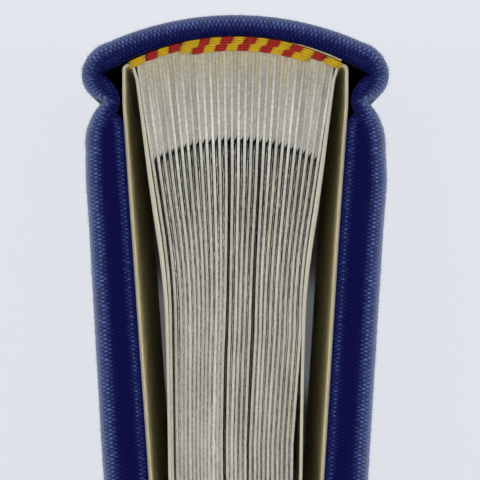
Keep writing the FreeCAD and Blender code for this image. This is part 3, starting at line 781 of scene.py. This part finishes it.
def leaf_line(b, share, start, stop, pitch=0.0012):
    """The middle line of a leaf or guard that lies at a share of the block's half-width."""
    fore = crown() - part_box("page_block")[0].y
    back = complex(b.fan_half, b.back_depth + b.fan_drop)
    stub = complex(b.stub_half, b.stub_depth)
    waist = complex(b.waist_half, b.waist_depth)
    hang = complex(b.hang_half, b.hang_depth)
    outer = trace(
        [back, (stub, 0), (waist, -b.bend_radius), (hang, 0), (complex(b.fore_half, fore), 0)],
        pitch=pitch,
    )
    depth = outer.imag
    half = np.interp(np.append(start, stop), depth, outer.real)
    if start < depth[0]:
        slope = (outer.real[1] - outer.real[0]) / (depth[1] - depth[0])
        half[0] = outer.real[0] + slope * (start - depth[0])
    within = (depth > start + pitch / 3) & (depth < stop - pitch / 3)
    line = np.concatenate(([complex(half[0], start)], outer[within], [complex(half[1], stop)]))
    return share * line.real + 1j * line.imag


def bunched(b, line, places):
    """A line moved sideways as its neighbours crowd together, places leaves from the front one.

    The room between leaves is shared out evenly in the fan and unevenly towards the fore-edge.
    """
    depth = line.imag
    crowd = ramp(depth, 0.022, 0.044)
    # the gaps differ by chance, are wide where the album has been opened, and narrow about gap 7
    chance, opened, pressed = 0.4, 0.35, 0.55
    room = [
        np.exp(chance * crowd * ripple(depth, 0 * depth, 0.09, 40 + gap))
        * (1 + opened * crowd * (gap in OPENINGS))
        * (1 - pressed * crowd * hill(gap, 7, 3.5))
        for gap in range(b.leaves - 1)
    ]
    half = leaf_line(b, 1, depth[0], depth[-1], 0.0005)
    half = np.interp(depth, half.imag, half.real)
    slack = b.back_slack * ramp(depth, b.waist_depth + 0.004, b.waist_depth + 0.018)
    free = (2 * half - slack - b.leaf_thick * (b.leaves - 1)) / sum(room)
    beside_it = np.cumsum([0 * depth] + [b.leaf_thick + free * each for each in room], axis=0)
    lower, part = int(places), places % 1
    upper = min(lower + 1, b.leaves - 1)
    return (1 - part) * beside_it[lower] + part * beside_it[upper] - half + 1j * depth


def arc_depth(b, share, extra):
    """How deep a leaf at that share meets the rounded back, or an arc extra below it."""
    return b.back_depth + extra + drop(b.back_radius, share * b.fan_half)


def gap_share(b, gap):
    """Where a gap lies between the front leaf, at -1, and the back one, at 1."""
    return (2 * gap + 1) / (b.leaves - 1) - 1


def glued(b, line):
    """How much the glue of the back has yellowed a sheet along its line."""
    return 0.8 * np.exp(-np.maximum(line.imag - b.back_depth - 0.001, 0) / 0.004)


def raise_head(points, rise):
    """Raise a sheet's head, or lower it by a rise below 0, and fade that out down the sheet."""
    level = points[..., 2]
    points[..., 2] += rise * ((level - level.min()) / np.ptp(level)) ** 20
    return points


def crinkle(points, seed):
    """Crumple a thin sheet sideways and make its head edge uneven."""
    height, level = points[..., 1], points[..., 2]
    from_guard = height.max() - height
    # the leaves press the sheets flat towards the fore-edge
    free = 1 - 0.8 * ramp(from_guard, 0.012, 0.026)
    points[..., 0] += 0.00007 * free * ripple(height, level, 0.0016, seed)
    points[..., 0] += 0.00006 * free * ripple(height, level, 0.0008, seed + 50)
    uneven = 0.0006 * free * (ripple(height, 0 * height, 0.0009, seed + 100) - 0.4)
    # the corner by the guard is torn off
    torn = 0.004 * np.exp(-from_guard / 0.0005)
    return raise_head(points, uneven - torn)


def card_leaf(b, leaf, low, high, dice):
    """An album leaf, counted from the front."""
    share = 2 * leaf / (b.leaves - 1) - 1
    fore = crown() - low.y
    line = bunched(b, leaf_line(b, share, arc_depth(b, share, 0.0), fore), leaf)
    outer, inner = beside(line, b.leaf_thick)
    ragged = 0.00012 * ripple(line.imag, 0 * line.imag, 0.004, 300 + leaf)
    clean = 0.4 * ramp(line.imag, b.guard_depth + 0.008, b.guard_depth + 0.002)
    tone = 0.5 + 2 * dice.uniform(-0.5, 0.5) ** 3 + clean - 1.2 * glued(b, line)
    return band(
        f"leaf_{leaf}", outer, inner, low.z, high.z - 0.0002 * dice.uniform(), rims=(6e-5, 6e-5),
        step=0.0005, growth=4, tint=tone, shape=lambda points: raise_head(points, ragged),
    )


def guard_strip(b, gap, low, high, dice):
    """The guard in a gap between two leaves, counted from the front."""
    share, pitch = gap_share(b, gap), 0.0006
    start, stop = arc_depth(b, share, 0.0004), arc_depth(b, share, b.guard_depth)
    line = leaf_line(b, share, start, stop, pitch)
    room = 2 * leaf_line(b, 1, start, stop, pitch).real / (b.leaves - 1)
    taper = 1 - 0.4 * ramp(line.imag, stop - pitch, stop) ** 2
    outer, inner = beside(line, (room - b.leaf_thick - 2 * b.guard_clear) * taper)
    # its free edge is cut askew
    outer[-1] += 0.0002j
    inner[-1] -= 0.0002j
    return band(
        f"guard_{gap}", outer, inner, low.z, high.z - 0.0002 - 0.0004 * dice.uniform(),
        rims=(8e-5, 8e-5), step=0.0005, growth=4, tint=0.3 * dice.uniform() + 0.45 - glued(b, line),
    )


def interleaf(b, gap, low, high, dice):
    """The crinkled sheet from a gap's guard to the fore-edge."""
    share = gap_share(b, gap)
    start, fore = arc_depth(b, share, b.guard_depth) + 0.0004, crown() - low.y
    line = bunched(b, leaf_line(b, share, start, fore - 0.001, 0.00042), gap + 0.5)
    fill = 1 + 0.5 * ramp(line.imag, b.stub_depth, b.stub_depth + 0.016)
    outer, inner = beside(line, b.glassine_thick * fill)
    # the head of the sheet lies below the leaves' heads, most where the album opens
    sunk = 0.0004 + 0.0007 * ramp(gap, 11, 14) + 0.0005 * hill(gap, 6, 4)
    if gap in OPENINGS:
        sunk = 0.006
    return band(
        f"interleaf_{gap}", outer, inner, low.z + sunk, high.z - sunk, rims=(2e-5, 2e-5),
        step=0.0012, growth=300, across=1, shape=lambda points: crinkle(points, 500 + gap),
        tint=dice.uniform(),
    )


class ALBUM_OT_leaves(bpy.types.Operator):
    """Make the album leaves, the guards between them and the crinkled interleaves"""

    bl_idname = "album.leaves"
    bl_label = "Leaves, guards and interleaves"

    def execute(self, context):
        b, tones = context.scene.album_block, context.scene.album_colours
        ends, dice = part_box("page_block"), np.random.default_rng(11)
        leaves = [card_leaf(b, leaf, *ends, dice) for leaf in range(b.leaves)]
        guards, sheets = [], []
        for gap in range(b.leaves - 1):
            guards.append(guard_strip(b, gap, *ends, dice))
            sheets.append(interleaf(b, gap, *ends, dice))
        # uncoated card is dull, and yellows; glassine is pressed smooth and shines a little
        card = paper("album_card", [tones.card_warm, tones.card, tones.card_cool])
        guard = paper("guard_card", [tones.card_warm, tones.guard, tones.guard])
        glassine = paper("glassine_interleaf", [tones.glassine, tones.card_cool], 0.4, (0.35, 1.14))
        block = finish_with(join(leaves, "album_leaves"), card)
        strips = finish_with(join(guards, "album_guards"), guard)
        between = finish_with(join(sheets, "album_interleaves"), glassine)
        for piece in (block, strips, between):
            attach(piece, "root")
        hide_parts("page_block")
        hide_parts("guard_strips")
        return {"FINISHED"}


# -------- endpapers


class ALBUM_OT_endpapers(bpy.types.Operator):
    """Fold the cream endpapers: a flyleaf on the block and a pastedown on each cover"""

    bl_idname = "album.endpapers"
    bl_label = "Endpapers"

    def execute(self, context):
        s, b = context.scene.album_case, context.scene.album_block
        tones = context.scene.album_colours
        low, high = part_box("page_block")
        # uncoated paper, dull: its cut edges a greyer cream, and its faces a lighter cream painted
        # a deeper yellow away from the head and tail, which is painted light bounced between the
        # cream sheets
        creams = [tones.cream_edge, tones.cream, tones.cream_deep_bounce]
        cream = paper("cream_endpaper", creams, 0.85, (0.96, 1.04))
        half_thick = b.paper_thick / 2
        # the flyleaf, from the fore-edge: where the leaves bend, it waves away from them and its
        # head looks wider
        fore, fold = crown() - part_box("back_flyleaf")[0].y, arc_depth(b, 1, b.fold_sink)
        shift = b.leaf_thick / 2 + b.leaf_clear + half_thick
        leaf = leaf_line(b, 1, fold + 0.0012, fore, 0.001) + shift
        bulge = b.fly_bulge * hill(leaf.imag, b.stub_depth, 0.013)
        leaf = leaf + 0.7 * bulge
        # its fold over the back of the leaves, down to the hinge line
        centre, reach = complex(joint_half() - b.fold_radius, fold), b.fold_radius - half_thick
        foot = complex(centre.real + reach, s.hinge_depth)
        over = [centre - reach, (centre - 1j * reach, reach), (centre + reach, reach)]
        down = [centre + reach, (foot, 0)]
        line = np.concatenate((leaf[::-1], trace(over, 12), trace(down, 12)[1:]))
        thick = b.paper_thick + 0.6 * np.pad(bulge[::-1], (0, len(line) - len(leaf)))
        # the pastedown, from the hinge line to just short of the cover's fore-edge
        end = on_cover(s, -half_thick, s.cover_width - 0.004)
        paste = trace([foot, (end, 0)], pitch=0.0006)
        for name, side in SIDES:
            made = {"low": low.z, "high": high.z, "side": side, "tint": "edges"}
            fly = band(f"{name}_flyleaf_fold", *beside(line, thick), **made)
            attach(finish_with(fly, cream), "root")
            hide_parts(f"{name}_flyleaf")
            hung = settled(s, side, paste, paste)[1]
            sheet = band(f"{name}_board_paper", *beside(hung, b.paper_thick), **made)
            finish_with(sheet, cream)
            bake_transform(sheet)
            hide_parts(f"{name}_pastedown")
        return {"FINISHED"}


# -------- headbands


def silk_strand(thick):
    """One silk strand a metre long, tapered to both ends, from which the stitches are copied."""
    deselect()
    bpy.ops.mesh.primitive_uv_sphere_add(segments=8, ring_count=9, radius=1)
    made = bpy.context.object
    made.scale = (thick, thick, 0.5)
    made.rotation_euler = (math.pi / 2, 0, 0)
    bpy.ops.object.transform_apply(rotation=True, scale=True)
    bpy.ops.object.shade_smooth()
    return made


def lay_strand(b, pattern, angle, radius, level, length):
    """A copy of the strand at its length, laid round the block's back."""
    deselect()
    laid = show("strand", pattern.data.copy())
    laid.select_set(True)
    bpy.context.view_layer.objects.active = laid
    centre = crown() - b.back_depth - b.back_radius
    laid.scale = (1, length, 1)
    laid.rotation_euler = (0, 0, math.pi / 2 - angle)
    laid.location = (radius * math.sin(angle), centre + radius * math.cos(angle), level)
    bpy.ops.object.transform_apply(location=True, rotation=True, scale=True)
    return laid


def headband_stitches(b, pattern, level, rise):
    """The stitches of one headband as {"yellow": [...], "red": [...]} strands.

    The front row begins at one end of the band and the back row at the other, and each row has
    the band's whole width to itself where it begins.
    """
    stitches, strands = {"yellow": [], "red": []}, 4
    for row, way, cells, single in HEADBAND_ROWS:
        for cell in range(cells):
            place = b.stitch * (cell - 0.5) - b.first_stitch if cell else -b.end_stitch
            angle = -way * place / b.back_radius
            # 1 while the row has the band to itself, 0 once the other row lies beside it
            alone = ramp(cell, single, single - 1.6)
            middle = b.back_radius - b.row_sink * (1 - (1 - alone) * row)
            middle += (0.00034 - 0.00007 * row) * alone
            spread = 0.00035 + 0.00001 * alone
            for number in range(strands):
                off = (number / (strands - 1) * 2 - 1) * spread
                # a strand overlaps its neighbours, the row's last one runs on, and all lie aslant
                length = (b.stitch if cell else b.end_length) * (1.9 if cell == cells - 1 else 1.2)
                slide = off / b.back_radius * 0.4
                # the strands climb towards the spine, every other one a little higher
                lean = ramp(middle + off - b.back_radius, -0.0007, -0.0001)
                lift = rise * (0.00042 * lean + 0.00007 * (number % 2))
                laid = lay_strand(b, pattern, angle + slide, middle + off, level + lift, length)
                stitches["yellow" if cell % 2 == 0 else "red"].append(laid)
    return stitches


class ALBUM_OT_headbands(bpy.types.Operator):
    """Sew the red and yellow silk headbands at the head and tail"""

    bl_idname = "album.headbands"
    bl_label = "Headbands"

    def execute(self, context):
        b, tones = context.scene.album_block, context.scene.album_colours
        low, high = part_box("page_block")
        finishes = {
            "yellow": silk("yellow_floss_silk", tones.yellow),
            "red": silk("red_floss_silk", tones.red),
        }
        pattern, above = silk_strand(b.strand), 0.0004
        for name, level, rise in (("head", high.z + above, 1), ("tail", low.z - above, -1)):
            for tone, strands in headband_stitches(b, pattern, level, rise).items():
                piece = join(strands, f"{name}band_{tone}_silk")
                finish_with(piece, finishes[tone])
                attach(piece, "root")
                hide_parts(f"{name}band_{tone}")
        bpy.data.meshes.remove(pattern.data)
        return {"FINISHED"}


# -------- the stage


def area_light(name, target, away, width, depth, watts):
    """A soft rectangular lamp that hangs away from a target and faces it."""
    lamp = bpy.data.lights.new(name, "AREA")
    lamp.shape, lamp.size, lamp.size_y, lamp.energy = "RECTANGLE", width, depth, watts
    holder = show(name, lamp)
    holder.location = target + away
    holder.rotation_mode = "QUATERNION"
    holder.rotation_quaternion = (-away).to_track_quat("-Z", "Y")


class ALBUM_OT_stage(bpy.types.Operator):
    """Set up the camera over the head, the pale floor and the soft lamps"""

    bl_idname = "album.stage"
    bl_label = "Camera, floor and lamps"

    def execute(self, context):
        scene, tones = context.scene, context.scene.album_colours
        top = Vector((0, crown() - 0.03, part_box("back_cover_cloth")[1].z))
        # a long lens high over the head sees the section as it is, with hardly a wall of it
        camera = show("camera", bpy.data.cameras.new("camera"))
        camera.location = top + Vector((0.00061, 0.00072, 0.78))
        camera.data.lens, camera.data.sensor_width = 450, 36
        camera.data.clip_start, camera.data.clip_end = 0.01, 10
        scene.camera = camera
        deselect()
        bpy.ops.mesh.primitive_circle_add(vertices=96, radius=30, fill_type="NGON")
        floor = bpy.context.object
        floor.name = "floor"
        # half the spine's width, and the depth of the floor's painted pool of light
        half_width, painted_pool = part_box("spine_cloth")[1].x, crown() - 0.0452
        finish_with(floor, ground_finish(tones, half_width, crown(), painted_pool))
        # each lamp's name, place from the target, width, depth and watts; those overhead are
        # narrow, so that the gaps between the leaves darken with depth
        lamps = [
            (f"overhead_{name}", (side * off, 0, 0.95), width, 0.6, watts)
            for name, off, width, watts in (("near", 0.07, 0.06, 2.6), ("far", 0.17, 0.1, 1.05))
            for side in (-1, 1)
        ]
        lamps += [
            ("left", (-0.9, 0.03, 0.3), 0.6, 0.4, 4),
            ("right", (0.9, 0.03, 0.3), 0.6, 0.4, 4),
            ("spine_side", (0, 0.93, 0.3), 0.6, 0.3, 3),
        ]
        for name, away, width, depth, watts in lamps:
            area_light(name, top, Vector(away), width, depth, watts)
        world = bpy.data.worlds.new("soft_studio")
        world.use_nodes = True
        scene.world = world
        plug(world.node_tree.nodes["Background"], {"Color": tones.ground, "Strength": 0.3})
        scene.view_settings.view_transform = "Standard"
        return {"FINISHED"}


class ALBUM_PT_panel(bpy.types.Panel):
    """The album's pieces, in the order in which they are made"""

    bl_label = "Photo album"
    bl_space_type = "VIEW_3D"
    bl_region_type = "UI"
    bl_category = "Album"

    def draw(self, context):
        for step in STEPS:
            self.layout.operator(step.bl_idname)


STEPS = (
    ALBUM_OT_stage,
    ALBUM_OT_boards,
    ALBUM_OT_lining,
    ALBUM_OT_case_cloth,
    ALBUM_OT_leaves,
    ALBUM_OT_endpapers,
    ALBUM_OT_headbands,
)
GROUPS = {"album_case": AlbumCase, "album_block": AlbumBlock, "album_colours": AlbumColours}


def register():
    """Add the album's settings to the scene, and its operators and panel to Blender."""
    for name, group in GROUPS.items():
        bpy.utils.register_class(group)
        setattr(bpy.types.Scene, name, PointerProperty(type=group))
    for step in (*STEPS, ALBUM_PT_panel):
        bpy.utils.register_class(step)


def unregister():
    """Take them away again."""
    for step in (*STEPS, ALBUM_PT_panel):
        bpy.utils.unregister_class(step)
    for name, group in GROUPS.items():
        delattr(bpy.types.Scene, name)
        bpy.utils.unregister_class(group)


def main():
    """Make every piece."""
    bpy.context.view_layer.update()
    register()
    bpy.ops.album.stage()
    bpy.ops.album.boards()
    bpy.ops.album.lining()
    bpy.ops.album.case_cloth()
    bpy.ops.album.leaves()
    bpy.ops.album.endpapers()
    bpy.ops.album.headbands()


if __name__ == "__main__":
    main()
